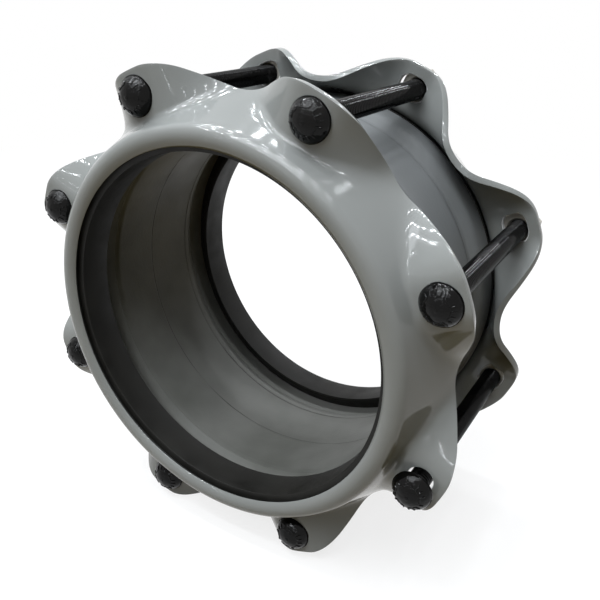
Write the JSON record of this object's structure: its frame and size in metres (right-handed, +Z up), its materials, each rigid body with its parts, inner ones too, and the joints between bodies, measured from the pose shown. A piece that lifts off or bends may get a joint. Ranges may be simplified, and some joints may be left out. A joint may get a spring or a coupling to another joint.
{
  "type": "compression sleeve coupling",
  "caption": "Bolted sleeve coupling that joins two plain pipe ends: a flared middle ring, two rubber gaskets and two scalloped follower rings drawn together by long bolts.",
  "frame": {"origin": "centre of the pipe bore, midway between the two follower rings", "axes": "+Y along the pipe bore from the bolt heads towards the nuts, +Z up, +X to the right seen from the bolt heads"},
  "size_m": [0.377, 0.209, 0.377],
  "materials": {
    "painted_steel": "gloss gray shop paint",
    "sleeve_paint": "semi-gloss gray shop paint",
    "gasket_rubber": "matt black",
    "bolt_steel": "oiled black",
    "nut_steel": "plain light steel"
  },
  "bodies": {
    "sleeve": {"middle_ring": "sleeve_paint", "front_gasket": "gasket_rubber", "rear_gasket": "gasket_rubber"},
    "front_follower": {"front_follower": "painted_steel", "bolt_1": "bolt_steel", "bolt_2": "bolt_steel", "bolt_3": "bolt_steel", "bolt_4": "bolt_steel", "bolt_5": "bolt_steel", "bolt_6": "bolt_steel", "bolt_7": "bolt_steel", "bolt_8": "bolt_steel"},
    "rear_follower": {"rear_follower": "painted_steel"},
    "nut_1": {"nut_1": "nut_steel"},
    "nut_2": {"nut_2": "nut_steel"},
    "nut_3": {"nut_3": "nut_steel"},
    "nut_4": {"nut_4": "nut_steel"},
    "nut_5": {"nut_5": "nut_steel"},
    "nut_6": {"nut_6": "nut_steel"},
    "nut_7": {"nut_7": "nut_steel"},
    "nut_8": {"nut_8": "nut_steel"}
  },
  "joints": [
    {"name": "nut_1_turn", "type": "hinge", "parent": "rear_follower", "child": "nut_1", "pos_m": [0.07129, 0.106, 0.1653], "axis": [0, -1, 0], "range_deg": [-540, 1260]},
    {"name": "nut_2_turn", "type": "hinge", "parent": "rear_follower", "child": "nut_2", "pos_m": [0.16729, 0.106, 0.06648], "axis": [0, -1, 0], "range_deg": [-540, 1260]},
    {"name": "nut_3_turn", "type": "hinge", "parent": "rear_follower", "child": "nut_3", "pos_m": [0.1653, 0.106, -0.07129], "axis": [0, -1, 0], "range_deg": [-540, 1260]},
    {"name": "nut_4_turn", "type": "hinge", "parent": "rear_follower", "child": "nut_4", "pos_m": [0.06648, 0.106, -0.16729], "axis": [0, -1, 0], "range_deg": [-540, 1260]},
    {"name": "nut_5_turn", "type": "hinge", "parent": "rear_follower", "child": "nut_5", "pos_m": [-0.06648, 0.106, -0.16729], "axis": [0, -1, 0], "range_deg": [-540, 1260]},
    {"name": "nut_6_turn", "type": "hinge", "parent": "rear_follower", "child": "nut_6", "pos_m": [-0.1653, 0.106, -0.07129], "axis": [0, -1, 0], "range_deg": [-540, 1260]},
    {"name": "nut_7_turn", "type": "hinge", "parent": "rear_follower", "child": "nut_7", "pos_m": [-0.16729, 0.106, 0.06648], "axis": [0, -1, 0], "range_deg": [-540, 1260]},
    {"name": "nut_8_turn", "type": "hinge", "parent": "rear_follower", "child": "nut_8", "pos_m": [-0.07129, 0.106, 0.1653], "axis": [0, -1, 0], "range_deg": [-540, 1260]},
    {"name": "front_slide", "type": "slide", "parent": "sleeve", "child": "front_follower", "axis": [0, 1, 0], "range_m": [-0.00173, 0.00404], "deforming": ["front_gasket"]},
    {"name": "rear_slide", "type": "slide", "parent": "sleeve", "child": "rear_follower", "axis": [0, -1, 0], "range_m": [-0.00173, 0.00404], "deforming": ["rear_gasket"]}
  ],
  "couplings": [
    {"joint": "nut_1_turn", "follows": "front_slide", "rad_per_m": 5442.1},
    {"joint": "nut_2_turn", "follows": "front_slide", "rad_per_m": 5442.1},
    {"joint": "nut_3_turn", "follows": "front_slide", "rad_per_m": 5442.1},
    {"joint": "nut_4_turn", "follows": "front_slide", "rad_per_m": 5442.1},
    {"joint": "nut_5_turn", "follows": "front_slide", "rad_per_m": 5442.1},
    {"joint": "nut_6_turn", "follows": "front_slide", "rad_per_m": 5442.1},
    {"joint": "nut_7_turn", "follows": "front_slide", "rad_per_m": 5442.1},
    {"joint": "nut_8_turn", "follows": "front_slide", "rad_per_m": 5442.1},
    {"joint": "rear_slide", "follows": "front_slide", "ratio": 1}
  ]
}
